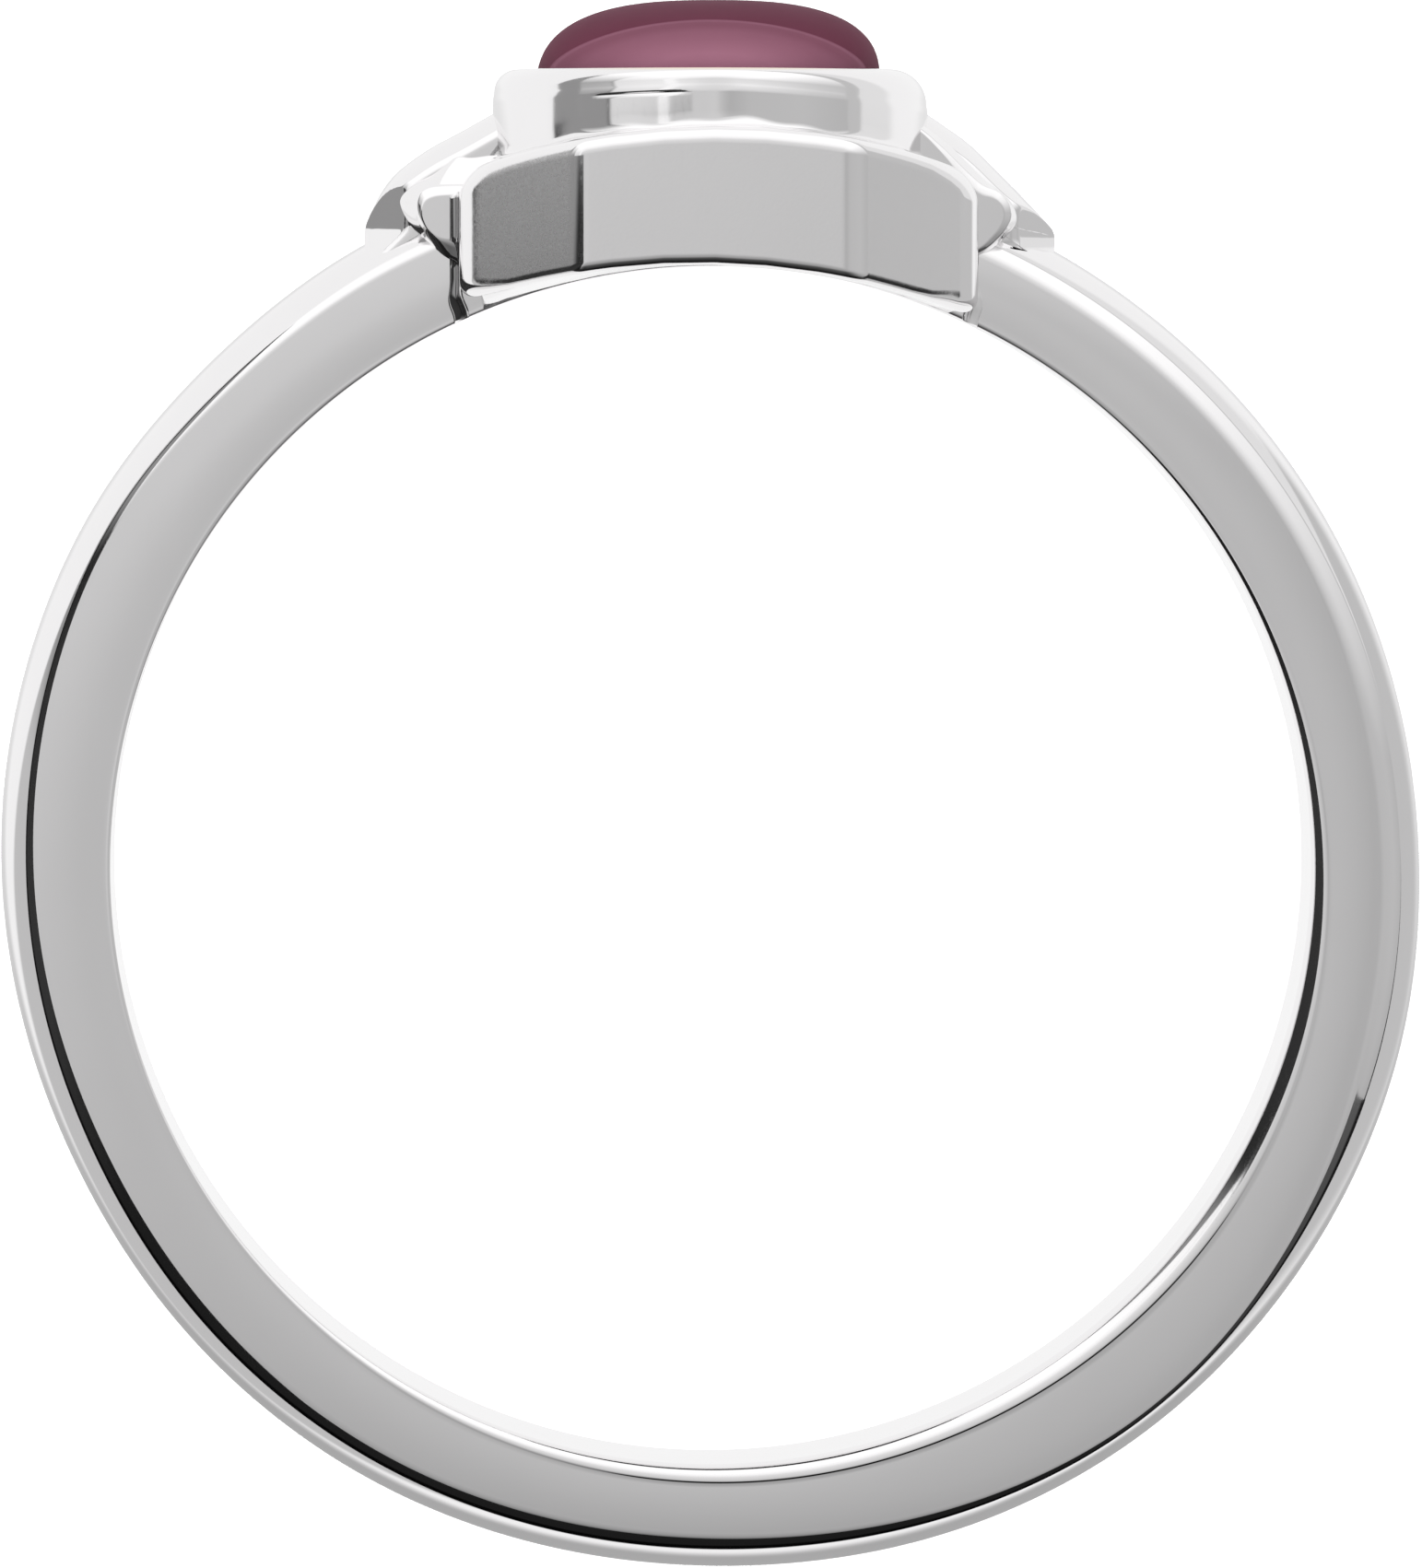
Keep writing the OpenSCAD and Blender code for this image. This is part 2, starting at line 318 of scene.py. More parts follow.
# The band's wear. Where on the band, in degrees from the right towards the stone: how far the
# crown stands out, how much further the flat side reaches out, how round the outer edge is, how
# wide the inner edge's easing is, and how high the fine ledge beside it, all in millimetres.
BAND_WEAR = np.array([
    # turn, crown_out, side_out, edge, easing, ledge
    (0, 0.06, 0, 0.50, 0.22, 0.002),
    (15, 0.03, 0, 0.50, 0.16, 0),
    (30, 0, 0, 0.40, 0.12, 0),
    (45, -0.04, 0, 0.36, 0.10, 0),
    (60, -0.06, 0, 0.36, 0.08, 0),
    (105, 0, 0, 0.20, 0.04, 0),
    (120, 0.05, 0, 0.20, 0.05, 0),
    (135, 0, 0.02, 0.20, 0.07, 0),
    (150, 0.10, 0.10, 0.18, 0.07, 0),
    (162, 0.08, 0.05, 0.16, 0.05, 0),
    (175, 0.06, 0.01, 0.16, 0.04, 0.002),
    (205, -0.06, 0, 0.30, 0.04, 0.001),
    (225, -0.01, 0, 0.36, 0.06, 0),
    (240, 0.01, 0, 0.34, 0.12, 0.002),
    (260, -0.01, 0, 0.33, 0.20, 0.006),
    (270, 0, -0.01, 0.33, 0.23, 0.013),
    (280, 0.06, 0.01, 0.30, 0.25, 0.013),
    (290, 0.14, 0.05, 0.26, 0.26, 0.013),
    (305, 0.215, 0.14, 0.20, 0.29, 0.013),
    (315, 0.215, 0.13, 0.16, 0.31, 0.013),
    (330, 0.195, 0.01, 0.28, 0.33, 0.010),
    (345, 0.17, -0.06, 0.45, 0.30, 0.003),
    (355, 0.10, 0, 0.48, 0.24, 0.002),
])


def along_band(column, soft=5):
    """That column of the wear table at each step round the band, read off straight between its rows
    and then averaged with a bell curve some degrees wide, so that it has no kinks."""
    turn = np.arange(BAND_STEPS) * 360 / BAND_STEPS
    value = np.interp(turn, BAND_WEAR[:, 0], BAND_WEAR[:, column], period=360)
    far = (turn + 180) % 360 - 180
    bell = np.exp(-(far / soft) ** 2 / 2)
    return np.real(np.fft.ifft(np.fft.fft(value) * np.fft.fft(bell / bell.sum())))


def band_section(edge, easing, ledge):
    """Half of the band's section, from the middle of the inner wall round the front to the crown,
    as radius and height above the middle plane. It is the straight inner wall, a quarter round that
    eases its edge, a fine ledge, the side, which is crowned by a hair, a round edge that touches
    both the side and the dome, and the dome, a part of a circle."""
    dome_r = (BAND_HALF**2 + DOME_RISE**2) / (2 * DOME_RISE)
    dome_c = FINGER_R + BAND_T - dome_r
    wall = np.array([0, 0.3, 0.6, 0.85, 0.97]) * (BAND_HALF + ledge - easing)
    g = np.radians(np.linspace(0, 90, 14))[None]
    eased_r = FINGER_R + easing * (1 - np.cos(g))
    eased_z = BAND_HALF + ledge - easing * (1 - np.sin(g))
    start = FINGER_R + easing
    end = dome_c + np.sqrt((dome_r - edge) ** 2 - (BAND_HALF - edge) ** 2)
    ledge_r = start + np.array([0.004, 0.008, 0.018, 0.028, 0.032])
    ledge_z = BAND_HALF + ledge * np.array([1, 0.9, 0.5, 0.1, 0])
    f = np.array([0.08, 0.25, 0.45, 0.65, 0.85, 0.97])
    side_r = start + LEDGE_WIDE + (end - start - LEDGE_WIDE) * f
    lean = np.arctan2(end - dome_c, BAND_HALF - edge)
    g = lean * np.linspace(0, 1, 18)[None]
    edge_r = end + edge * np.sin(g)
    edge_z = BAND_HALF - edge + edge * np.cos(g)
    g = lean + (np.pi / 2 - lean) * np.linspace(0, 1, 20)[None, 1:]
    dome = dome_c + dome_r * np.sin(g), dome_r * np.cos(g)
    r = np.hstack([FINGER_R + 0 * wall, eased_r, ledge_r, side_r, edge_r, dome[0]])
    side_z = BAND_HALF + SIDE_CROWN * (1 - (2 * f - 1) ** 2) + 0 * side_r
    z = np.hstack([wall, eased_z, ledge_z, side_z, edge_z, dome[1]])
    return r, z


def closed_surface(name, rings, poles=None):
    """A piece whose skin runs through rings[j, i], each ring closed on itself. Rings that follow
    one another are joined with four-sided faces, and the first and the last close on a pole each,
    or on one another. If the volume comes out below nothing, the faces are turned round."""
    rings = np.asarray(rings, float)
    rows, around = rings.shape[:2]
    number = np.arange(rows * around).reshape(rows, around)
    points = rings.reshape(-1, 3)
    if poles is None:
        number = np.vstack([number, number[:1]])
    after = np.roll(number, -1, axis=1)
    quads = np.stack([number[:-1], after[:-1], after[1:], number[1:]], axis=-1).reshape(-1, 4)
    corners = np.concatenate([quads[:, :3], quads[:, [0, 2, 3]]])
    faces = [quads]
    if poles is not None:
        points = np.vstack([points, poles])
        fans = np.concatenate([
            np.stack([after[0], number[0], np.full(around, rows * around)], axis=-1),
            np.stack([number[-1], after[-1], np.full(around, rows * around + 1)], axis=-1)])
        corners = np.concatenate([corners, fans])
        faces.append(fans)
    a, b, c = (points[corners[:, k]] for k in range(3))
    turn = 1 if np.sum(a * np.cross(b, c)) > 0 else -1
    faces = [face for part in faces for face in part[:, ::turn].tolist()]
    return plain_mesh(name, points, faces)


def eased(value):
    """Goes smoothly from 0 to 1 as the value does."""
    value = np.clip(value, 0, 1)
    return value**2 * (3 - 2 * value)


crown_out, side_out, *wear = [along_band(column)[:, None] for column in range(1, 6)]
section_r, section_z = band_section(*wear)
outside = eased((section_r - WORN_FROM) / WORN_SOFT)
on_side = outside * (1 - eased((section_r - SIDE_TO) / SIDE_SOFT))
section_r = section_r + crown_out * outside + side_out * on_side
whole_r = np.hstack([section_r, section_r[:, -2:0:-1]])
whole_z = np.hstack([section_z, -section_z[:, -2:0:-1]])
turn = np.radians(np.arange(BAND_STEPS) * 360 / BAND_STEPS)[:, None]
band = closed_surface("band", np.stack(
    [whole_r * np.cos(turn), whole_r * np.sin(turn), whole_z], axis=-1).transpose(1, 0, 2))


def new_group(name, inputs, outputs):
    """An empty node group with those sockets, each a name and a kind, and its two ends."""
    group = bpy.data.node_groups.new(name, "ShaderNodeTree")
    for io, sockets in (("INPUT", inputs), ("OUTPUT", outputs)):
        for label, kind in sockets:
            group.interface.new_socket(label, in_out=io, socket_type="NodeSocket" + kind)
    given = group.nodes.new("NodeGroupInput").outputs
    result = group.nodes.new("NodeGroupOutput").inputs
    return group, given, result


# The surface that the hand polishing leaves, as a group that each metal piece uses with its own
# values: cloudy differences in gloss and tone, fine scratches that run two ways, and where the
# satin mask says so, a close grain. The first three values are what each adds to the roughness.
CLOUD_ROUGH, SCRATCH_ROUGH, GRAIN_ROUGH = 0.03, 0.04, 0.45
SCRATCH_HEIGHT, GRAIN_HEIGHT = -0.012, 0.9
TONE_SPREAD, TONE_LEAST = 0.10, 0.93
SCRATCH_RAMP = [(0.64, 0), (0.67, 1), (0.70, 0)]
hand_finish, given, result = new_group(
    "hand_finish",
    [("Place", "Vector"), ("Gloss", "Float"), ("Satin", "Float"), ("Grain", "Float")],
    [("Roughness", "Float"), ("Height", "Float"), ("Tone", "Float")])
cloud = put(hand_finish, "TexNoise", {"Vector": given["Place"], "Scale": 0.7, "Detail": 3.0})
lines = []
for turned, stretch in (((0.2, 0.1, 1.1), (26, 2.6, 6)), ((0.1, 0.5, -0.5), (30, 3.0, 7))):
    drawn = put(hand_finish, "Mapping",
                {"Vector": given["Place"], "Rotation": turned, "Scale": stretch})
    drawn = put(hand_finish, "TexNoise", {"Vector": drawn.outputs[0], "Scale": 1.0,
                                          "Detail": 2.0, "Roughness": 0.6})
    lines.append(ramp(hand_finish, drawn.outputs["Fac"], SCRATCH_RAMP))
scratch = calc(hand_finish, "MAXIMUM", *lines)
fine = put(hand_finish, "TexNoise", {"Vector": given["Place"], "Scale": given["Grain"],
                                     "Detail": 3.0, "Roughness": 0.7})
satin = calc(hand_finish, "MULTIPLY", given["Satin"], fine.outputs["Fac"])
rough = calc(hand_finish, "MULTIPLY_ADD", cloud.outputs["Fac"], CLOUD_ROUGH, given["Gloss"])
rough = calc(hand_finish, "MULTIPLY_ADD", scratch, SCRATCH_ROUGH, rough)
rough = calc(hand_finish, "MULTIPLY_ADD", satin, GRAIN_ROUGH, rough)
height = calc(hand_finish, "MULTIPLY_ADD", scratch, SCRATCH_HEIGHT,
              calc(hand_finish, "MULTIPLY", satin, GRAIN_HEIGHT))
tone = calc(hand_finish, "MULTIPLY_ADD", cloud.outputs["Fac"], TONE_SPREAD, TONE_LEAST)
for socket, value in (("Roughness", rough), ("Height", height), ("Tone", tone)):
    hand_finish.links.new(value, result[socket])


# The metal's colours: its dullest and its brightest polish, and a painted warm reflection of the
# stone's light beside the stone.
METAL_DULL = (0.62, 0.60, 0.61, 1)
METAL_BRIGHT = (0.92, 0.91, 0.915, 1)
METAL_STONE_REFLECTION = (0.92, 0.78, 0.64, 1)


def white_metal(name, gloss, satin=None, grain=30.0, painted_stone_light=None):
    """Hand-polished white metal. Gloss is how rough the polish is. The satin and the stone-light
    arguments name the attributes that say where the close grain is and where a painted warm
    reflection of the stone's light tints the metal."""
    material = bpy.data.materials.new(name)
    material.use_nodes = True
    tree = material.node_tree
    shader = tree.nodes["Principled BSDF"]
    shader.inputs["Metallic"].default_value = 1
    finish = put(tree, "Group", node_tree=hand_finish)
    if satin:
        satin = put(tree, "Attribute", attribute_name=satin).outputs["Fac"]
        tree.links.new(satin, finish.inputs["Satin"])
    finish.inputs["Gloss"].default_value = gloss
    finish.inputs["Grain"].default_value = grain
    tree.links.new(ring_place(tree), finish.inputs["Place"])
    bump = put(tree, "Bump", {"Height": finish.outputs["Height"], "Strength": 0.25,
                              "Distance": 0.00001})
    tint = put(tree, "MixRGB", {"Fac": finish.outputs["Tone"], "Color1": METAL_DULL,
                                "Color2": METAL_BRIGHT})
    if painted_stone_light:
        painted_stone_light = put(tree, "Attribute", attribute_name=painted_stone_light).outputs["Fac"]
        tint = put(tree, "MixRGB", {"Fac": painted_stone_light, "Color1": tint.outputs[0],
                                    "Color2": METAL_STONE_REFLECTION})
    tree.links.new(tint.outputs[0], shader.inputs["Base Color"])
    tree.links.new(finish.outputs["Roughness"], shader.inputs["Roughness"])
    tree.links.new(bump.outputs[0], shader.inputs["Normal"])
    return material


band.data.materials.append(white_metal("polished_band", gloss=0.05))
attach(band, "root")
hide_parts("ring_mount")


# The base plate under the stone, an eight-sided block whose top and underside follow the finger.
# It is cut from the same white metal, its facets are rubbed satin and its edges polished round,
# and it is soldered over the band.
PLATE_LEFT, PLATE_RIGHT = -3.635, 3.745
PLATE_DEEP = 4.65
FACET_LEFT, FACET_RIGHT = -1.98, 1.95
CORNER_CUT = 1.74
PLATE_TOP = 10.65
PLATE_FOOT = 8.70
ARCH_R = 10.4
FOOT_LEAN = -0.0266
UNDER_R = FINGER_R + 0.02
# How far the upright edges are rounded, between the facets and at the plate's two ends.
LEFT_SEAM, RIGHT_SEAM = 0.13, 0.20
LEFT_END, RIGHT_END = 0.43, 0.39
# The radius of the upper and of the lower edge: in the middle, at the ends, and between which
# distances from the middle it changes.
TOP_ROUND, TOP_CORNER, TOP_CHANGE = 0.22, 0.42, (3.1, 3.7)
FOOT_ROUND, FOOT_CORNER, FOOT_CHANGE = 0.15, 0.32, (2.9, 3.6)
# The satin stops this far from the upper or lower edge and from the end, on a round corner.
SATIN_EDGE, SATIN_END, SATIN_CORNER, SATIN_SOFT = 0.42, 0.50, 0.37, 0.16
FACET_CUTS = (0.01, 0.05, 0.1, 0.3, 0.5, 0.7, 0.9, 0.95, 0.99)


def round_outline(corners, reach, steps=12, cuts=FACET_CUTS):
    """A closed outline whose corners are rounded: each corner is left out between two points at its
    reach on both sides, or nearly the middle of the side, which a curve joins that bends towards
    the corner. The straight parts between are cut at the given shares of their length, close to
    their ends so that they shade flat."""
    corners, reach = np.asarray(corners, float), np.asarray(reach, float)[:, None]

    def towards(other):
        gap = other - corners
        far = np.linalg.norm(gap, axis=1, keepdims=True)
        return corners + gap * np.minimum(reach / far, 0.45)

    before, after = towards(np.roll(corners, 1, 0)), towards(np.roll(corners, -1, 0))
    t = np.linspace(0, 1, steps)[None, :, None]
    bend = ((1 - t) ** 2 * before[:, None] + 2 * t * (1 - t) * corners[:, None]
            + t**2 * after[:, None])
    s = np.array(cuts)[None, :, None]
    run = after[:, None] * (1 - s) + np.roll(before, -1, 0)[:, None] * s
    return np.concatenate([bend, run], axis=1).reshape(-1, 2)


def inward(outline):
    """The unit direction into a closed outline at each point, square to the line through its two
    neighbours."""
    along = np.roll(outline, -1, 0) - np.roll(outline, 1, 0)
    square = np.stack([-along[:, 1], along[:, 0]], axis=-1)
    square /= np.linalg.norm(square, axis=1, keepdims=True)
    middle = outline.mean(0)
    return square * np.sign(np.sum(square * (middle - outline)))


def arch_fall(x):
    """How far the arch, a circle, has fallen at a distance x from the middle."""
    return np.sqrt(ARCH_R**2 - x**2) - ARCH_R


def plate_top(x):
    """The height of the plate's top."""
    return PLATE_TOP + arch_fall(x)


def plate_foot(x):
    """The height of the plate's lower edge, which leans a little to one side."""
    return PLATE_FOOT + arch_fall(x) + FOOT_LEAN * x


def plate_under(x, z):
    """The height of the underside: it leaves the finger hole at the band's side and slopes to the
    plate's lower edge."""
    cut = np.maximum(0, np.maximum(FACET_LEFT - x, x - FACET_RIGHT))
    reach = PLATE_DEEP - cut - FOOT_ROUND
    share = np.clip((np.abs(z) - BAND_HALF) / (reach - BAND_HALF), 0, 1)
    hole_line = np.sqrt(UNDER_R**2 - x**2)
    return hole_line + (plate_foot(x) - hole_line) * share


end_z = PLATE_DEEP - CORNER_CUT
corners = [(PLATE_RIGHT, end_z), (FACET_RIGHT, PLATE_DEEP), (FACET_LEFT, PLATE_DEEP),
           (PLATE_LEFT, end_z), (PLATE_LEFT, -end_z), (FACET_LEFT, -PLATE_DEEP),
           (FACET_RIGHT, -PLATE_DEEP), (PLATE_RIGHT, -end_z)]
outline = round_outline(corners, [RIGHT_END, RIGHT_SEAM, LEFT_SEAM, LEFT_END,
                                  LEFT_END, LEFT_SEAM, RIGHT_SEAM, RIGHT_END])
into = inward(outline)


def edge_round(middle, end, change):
    """An edge's radius at each point of the outline: it goes smoothly from one to the other."""
    near_end = eased((np.abs(outline[:, 0]) - change[0]) / (change[1] - change[0]))
    return middle + (end - middle) * near_end


# The plate's rings run from the top's middle over the upper edge, down the facets, round the lower
# edge and back under it. Each is the outline, moved inward or made smaller, with its height.
top_round = edge_round(TOP_ROUND, TOP_CORNER, TOP_CHANGE)
foot_round = edge_round(FOOT_ROUND, FOOT_CORNER, FOOT_CHANGE)
steps = []
inset = outline + top_round[:, None] * into
for share in (0.25, 0.5, 0.75, 0.93, 0.99):
    steps.append((inset * share, plate_top(inset[:, 0] * share)))
for g in np.radians(np.linspace(0, 90, 14)):
    at = outline + (top_round * (1 - np.sin(g)))[:, None] * into
    steps.append((at, plate_top(at[:, 0]) - top_round * (1 - np.cos(g))))
high = plate_top(outline[:, 0]) - top_round
low = plate_foot(outline[:, 0]) + foot_round
for share in (0.01, 0.2, 0.4, 0.6, 0.8, 0.99):
    steps.append((outline, high + (low - high) * share))
for g in np.radians(np.linspace(0, 90, 12)):
    at = outline + (foot_round * (1 - np.cos(g)))[:, None] * into
    steps.append((at, plate_foot(at[:, 0]) + foot_round * (1 - np.sin(g))))
inset = outline + foot_round[:, None] * into
for share in (0.99, 0.93, 0.8, 0.65, 0.5, 0.35, 0.2):
    at = inset * share
    steps.append((at, plate_under(at[:, 0], at[:, 1])))
rings = np.array([np.column_stack([at[:, 0], height, at[:, 1]]) for at, height in steps])
poles = [(0, PLATE_TOP, 0), (0, UNDER_R, 0)]
base_plate = closed_surface("base_plate", rings, poles)
# The satin mask. It is strong on the two facets that lie left of the middle as seen from outside,
# nothing in the seam beside them and weak on the others.
x, y, z = np.vstack([rings.reshape(-1, 3), poles]).T
edge_in = np.minimum(plate_top(x) - y, y - plate_foot(x))
end_in = np.minimum(x - PLATE_LEFT, PLATE_RIGHT - x)
corner = np.hypot(np.maximum(SATIN_EDGE - edge_in, 0), np.maximum(SATIN_END - end_in, 0))
on_facet = eased((SATIN_CORNER - corner) / SATIN_SOFT)
on_facet *= read_off(x * np.sign(z), [(-2.10, 1.0), (-2.02, 0.0), (-1.7, 0.12)])
base_plate.data.attributes.new("satin", "FLOAT", "POINT").data.foreach_set(
    "value", on_facet.astype(np.float32))
satin_plate = white_metal("satin_plate", gloss=0.06, satin="satin", grain=22.0)
base_plate.data.materials.append(satin_plate)
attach(base_plate, "root")
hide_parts("ring_mount")


# The bezel, a heavy oval collar of white metal soldered upright on the plate. Its rim is rounded
# off outside and has been pressed in over the stone, and a faint crease under the rim is left from
# that.
RIM_Y = 11.48
BEZEL_A = 3.14
BEZEL_B = 4.14
BEZEL_STEPS = 240
RIM_W = 0.69
# The rim's radius at the front and back, on average at the two sides, and how they differ.
RIM_ROUND, SIDE_ROUND, ROUND_DIFFERS = 0.19, 0.42, 0.09
STRIP = 0.17
STRIP_IN = 0.020
# The crease's depth, where it begins and ends from left to right, and how softly.
CREASE_DEPTH = 0.014
CREASE_FROM, CREASE_FROM_SOFT = -1.75, 0.12
CREASE_TO, CREASE_TO_SOFT = -0.4, 0.3
# The painted warm reflection of the stone's light: how strong it is, how far under the rim it
# begins and how softly, and the distance from the middle over which it fades.
WARM, WARM_UNDER, WARM_SOFT, WARM_WIDE = 0.9, 0.05, 0.04, 1.9
around = np.radians(np.arange(BEZEL_STEPS) * 360 / BEZEL_STEPS)
sideways = np.abs(np.cos(around)) ** 1.5
rim_round = RIM_ROUND + (SIDE_ROUND - RIM_ROUND
                         + ROUND_DIFFERS * np.sign(np.cos(around))) * sideways


def oval(inset):
    """The bezel's outline from above, an ellipse whose two half axes are shorter by the inset."""
    return (BEZEL_A - inset) * np.cos(around), (BEZEL_B - inset) * np.sin(around)


# The solder round its foot, then the wall, a faint crease, a strip that leans in, and the rim.
solder = 0.10 + 0.03 * np.sin(9 * around + 1) + 0.02 * np.sin(23 * around)
foot = plate_top(oval(0)[0])
collar = RIM_Y - rim_round - STRIP
rows = [(-0.2 * solder, foot - 0.5), (-solder, foot - 0.03)]
for g in np.radians([0, 20, 40, 60, 80]):
    rows.append((-solder * (1 - np.sin(g)), foot + solder * (1 - np.cos(g))))
wall_foot = foot + solder + 0.02
for share in (0.0, 0.3, 0.6, 0.9, 1.0):
    rows.append((0 * around, wall_foot + (collar - wall_foot) * share))
rim_x = oval(0)[0]
crease = (CREASE_DEPTH * eased((rim_x - CREASE_FROM) / CREASE_FROM_SOFT)
          * eased((CREASE_TO - rim_x) / CREASE_TO_SOFT))
for inset, height in ((1.0, 0.010), (1.0, 0.020), (0.2, 0.032)):
    rows.append((inset * crease, collar + height))
for inset, height in ((0.003, 0.060), (0.007, 0.090), (0.012, 0.120), (0.018, 0.145)):
    rows.append((inset + 0 * around, collar + height))
for g in np.radians(np.linspace(8, 84, 14)):
    rows.append((STRIP_IN + rim_round * (1 - np.cos(g)), RIM_Y - rim_round * (1 - np.sin(g))))
lip_row = len(rows)
lip_start = rows[-1][0]
for share, dip in ((0.1, 0.002), (0.4, 0.003), (0.7, 0.006), (0.9, 0.012), (1.0, 0.03)):
    rows.append((lip_start + (RIM_W - lip_start) * share, RIM_Y - dip + 0 * around))
# Inside the lip the wall follows the stone down to its seat.
for inset, height in ((0.70, 11.42), (0.66, 11.28), (0.61, 11.20), (0.61, 10.9), (0.61, 10.2)):
    rows.append((inset + 0 * around, height + 0 * around))
rings = np.array([np.column_stack([oval(inset)[0], height, oval(inset)[1]])
                  for inset, height in rows])
bezel = closed_surface("bezel", rings, poles=[(0, 9.8, 0), (0, 10.2, 0)])
# A painted reflection of the stone's light tints the uppermost part of the rim's rounding.
painted_stone_reflection = (WARM * eased((rings[..., 1] - RIM_Y + WARM_UNDER) / WARM_SOFT)
                * np.clip(1.2 - (rings[..., 0] / WARM_WIDE) ** 2, 0, 1))
painted_stone_reflection[lip_row:] = 0
bezel.data.attributes.new("painted_stone_light", "FLOAT", "POINT").data.foreach_set(
    "value", np.append(painted_stone_reflection, [0, 0]).astype(np.float32))
bezel.data.materials.append(white_metal("polished_bezel", gloss=0.07, painted_stone_light="painted_stone_light"))
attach(bezel, "root")
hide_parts("ring_mount")


# The two shoulders, one on each side of the head: a crowned ridge that runs from the bezel down to
# the band and ends in a round nose, and under it a wider step that fills the corner by the plate.
# They are cast with the band and polished with it.
RIDGE_HALF = 0.85
RIDGE_CROWN = 1.3
RIDGE_EDGE = 0.07
STEP_ROOT, STEP_HALF = 0.5, 1.3
# The ridge's outline from the front, from the bezel down to the band, on each side of the ring:
# distance from the middle and height.
RIDGE_LINE = {
    1: [(2.8, 11.03), (3.13, 10.84), (3.45, 10.62), (3.76, 10.40), (4.46, 9.70), (4.90, 9.23),
        (4.97, 9.12), (4.98, 8.95), (4.90, 8.60), (2.8, 8.60)],
    -1: [(2.8, 11.03), (3.16, 10.83), (3.60, 10.58), (4.05, 10.35), (4.50, 10.03), (4.72, 9.77),
         (4.90, 9.43), (5.01, 9.14), (4.95, 8.60), (2.8, 8.60)],
}
# The step's outlines, each further out along the finger: where its wall ends, where the slope above
# the wall ends, and its flat face. Then how far out the first two are.
STEP_LINES = {
    1: ([(2.85, 10.80), (3.13, 10.60), (3.43, 10.37), (3.70, 10.11), (3.93, 9.87), (4.20, 9.69),
         (4.35, 9.50), (4.395, 9.30), (4.28, 9.12), (4.00, 8.88), (3.35, 8.55)],
        [(2.85, 10.74), (3.10, 10.55), (3.38, 10.29), (3.64, 10.02), (3.88, 9.80), (4.12, 9.73),
         (4.27, 9.55), (4.30, 9.35), (4.20, 9.15), (3.97, 8.92), (3.35, 8.60)],
        [(2.85, 10.69), (3.07, 10.51), (3.34, 10.22), (3.58, 9.90), (3.84, 9.67), (4.03, 9.64),
         (4.16, 9.53), (4.20, 9.36), (4.11, 9.18), (3.86, 8.92), (3.35, 8.70)]),
    -1: ([(2.85, 10.28), (3.20, 10.24), (3.47, 10.20), (3.66, 10.24), (3.97, 9.98), (4.30, 9.82),
          (4.49, 9.62), (4.45, 9.45), (4.32, 9.22), (3.97, 8.87), (3.35, 8.55)],
         [(2.85, 9.83), (3.20, 9.83), (3.50, 9.83), (3.80, 9.83), (4.05, 9.81), (4.20, 9.73),
          (4.265, 9.55), (4.25, 9.35), (4.13, 9.11), (3.85, 8.79), (3.35, 8.55)],
         [(2.85, 9.67), (3.20, 9.67), (3.50, 9.67), (3.76, 9.67), (3.97, 9.655), (4.11, 9.60),
          (4.165, 9.48), (4.16, 9.35), (4.09, 9.19), (3.92, 9.05), (3.35, 9.02)]),
}
STEP_OUT = {1: (1.03, 1.25), -1: (0.87, 1.17)}
# The nose's front is planed off: a point of that upright flat, and how much nearer to the middle
# plane it comes for each millimetre outward. Below a height it bends out again to meet the band.
FLAT_X, FLAT_Z, FLAT_SLOPE = 4.50, 0.70, 0.76 / 0.65
FLAT_FOOT = {1: 8.97, -1: 9.17}
FOOT_SLOPE, FOOT_SOFT, FLAT_SOFT = 1.2, 0.03, 0.02
HAIR = 0.002
# The solder's runs end at a height inside the hole. Below two heights the plate's end draws in and
# the run widens, and between two heights what it rests on goes from the band out to the step.
SOLDER_FOOT, SOLDER_SOFT = 7.88, 0.4
END_DRAWS_IN, END_IN = 8.3, 0.10
RUN_WIDENS = 8.5
BAND_TO_STEP = (8.70, 9.05)
RIDGE_MIDDLE = (3.9, 9.3)
STEP_MIDDLE = (3.6, 9.42)
# The step's rows between its brow and its face: the share of the way inward and that outward.
BEND_OVER = [(0.05, 0.10), (0.12, 0.24), (0.25, 0.42), (0.45, 0.62), (0.65, 0.80), (0.82, 0.93),
             (0.93, 0.985), (1, 1)]


def soft_least(a, b, soft):
    """The smaller of two values, with a rounded change from one to the other."""
    return -soft * np.logaddexp(-a / soft, -b / soft)


